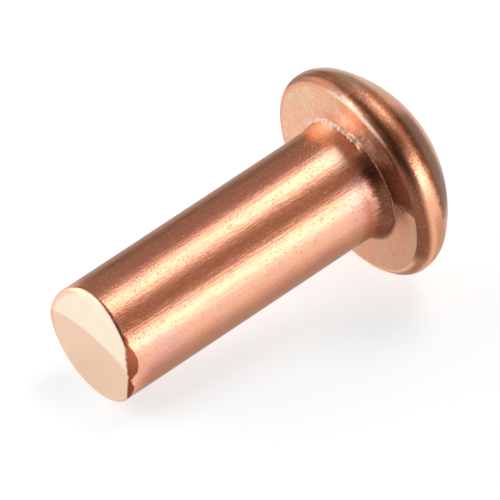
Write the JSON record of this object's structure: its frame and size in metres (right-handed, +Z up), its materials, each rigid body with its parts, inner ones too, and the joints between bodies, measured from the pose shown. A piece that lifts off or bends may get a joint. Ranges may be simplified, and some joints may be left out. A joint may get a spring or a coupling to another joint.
{
  "type": "round head solid rivet",
  "caption": "Solid copper rivet with a round head, a flat bearing face and a plain shank with a cropped end; lies on its side.",
  "frame": {"origin": "on the floor under the middle of the part's box, as the rivet lies on the edge of its head and the edge of its shank end", "axes": "+X level, from the shank end towards the head; +Z up; the rivet's own axis rises towards the head by 8.7 degrees in the XZ plane"},
  "size_m": [0.0202, 0.011, 0.011],
  "materials": {
    "copper": "bright drawn copper, satin with fine drawing lines"
  },
  "bodies": {
    "root": {"rivet": "copper"}
  },
  "joints": []
}
